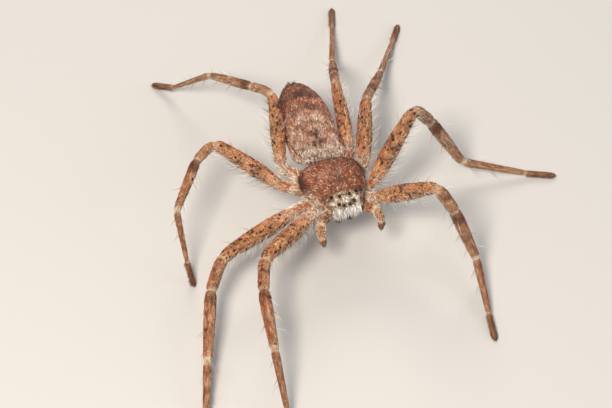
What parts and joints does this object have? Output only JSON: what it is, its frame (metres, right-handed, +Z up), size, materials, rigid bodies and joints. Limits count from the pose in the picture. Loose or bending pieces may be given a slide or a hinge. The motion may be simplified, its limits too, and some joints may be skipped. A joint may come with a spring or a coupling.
{
  "type": "huntsman spider",
  "caption": "Still, life-size huntsman spider standing on its feet, legs spread, with carapace, eyes, chelicerae, palps, abdomen and spinnerets.",
  "frame": {"origin": "on the floor under the middle of the box that holds the spider", "axes": "+Z up, the floor at z = 0; the head looks along -Y and the spider's left is +X"},
  "size_m": [0.0642, 0.07, 0.0164],
  "materials": {
    "carapace": "chestnut cuticle under short flat pale and dark hairs, cream round the eyes",
    "abdomen": "dusty pink-brown hair mottled with grey, pale in front",
    "underside": "pale pinkish hair over tan cuticle",
    "leg": "orange-tan hair with dark brown spots and cream joints",
    "foot": "dense brown pad hair",
    "chelicera": "dark red-brown cuticle with sparse hairs",
    "eye": "polished black lens",
    "hair": "fine pale and brown hairs",
    "claw": "dark horn"
  },
  "bodies": {
    "root": {"abdomen": "abdomen", "cephalothorax": "carapace", "chelicera_left": "chelicera", "chelicera_right": "chelicera", "eye_front_lateral_left": "eye", "eye_front_lateral_right": "eye", "eye_front_median_left": "eye", "eye_front_median_right": "eye", "eye_rear_lateral_left": "eye", "eye_rear_lateral_right": "eye", "eye_rear_median_left": "eye", "eye_rear_median_right": "eye", "leg_1_left_femur": "leg", "leg_1_left_metatarsus": "foot", "leg_1_left_patella": "leg", "leg_1_left_tarsus": "foot", "leg_1_left_tibia": "leg", "leg_1_right_femur": "leg", "leg_1_right_metatarsus": "foot", "leg_1_right_patella": "leg", "leg_1_right_tarsus": "foot", "leg_1_right_tibia": "leg", "leg_2_left_femur": "leg", "leg_2_left_metatarsus": "foot", "leg_2_left_patella": "leg", "leg_2_left_tarsus": "foot", "leg_2_left_tibia": "leg", "leg_2_right_femur": "leg", "leg_2_right_metatarsus": "foot", "leg_2_right_patella": "leg", "leg_2_right_tarsus": "foot", "leg_2_right_tibia": "leg", "leg_3_left_femur": "leg", "leg_3_left_metatarsus": "foot", "leg_3_left_patella": "leg", "leg_3_left_tarsus": "foot", "leg_3_left_tibia": "leg", "leg_3_right_femur": "leg", "leg_3_right_metatarsus": "foot", "leg_3_right_patella": "leg", "leg_3_right_tarsus": "foot", "leg_3_right_tibia": "leg", "leg_4_left_femur": "leg", "leg_4_left_metatarsus": "foot", "leg_4_left_patella": "leg", "leg_4_left_tarsus": "foot", "leg_4_left_tibia": "leg", "leg_4_right_femur": "leg", "leg_4_right_metatarsus": "foot", "leg_4_right_patella": "leg", "leg_4_right_tarsus": "foot", "leg_4_right_tibia": "leg", "palp_left": "leg", "palp_left_tarsus": "foot", "palp_right": "leg", "palp_right_tarsus": "foot", "spinnerets": "abdomen", "sternum_and_coxae": "underside"}
  },
  "joints": []
}
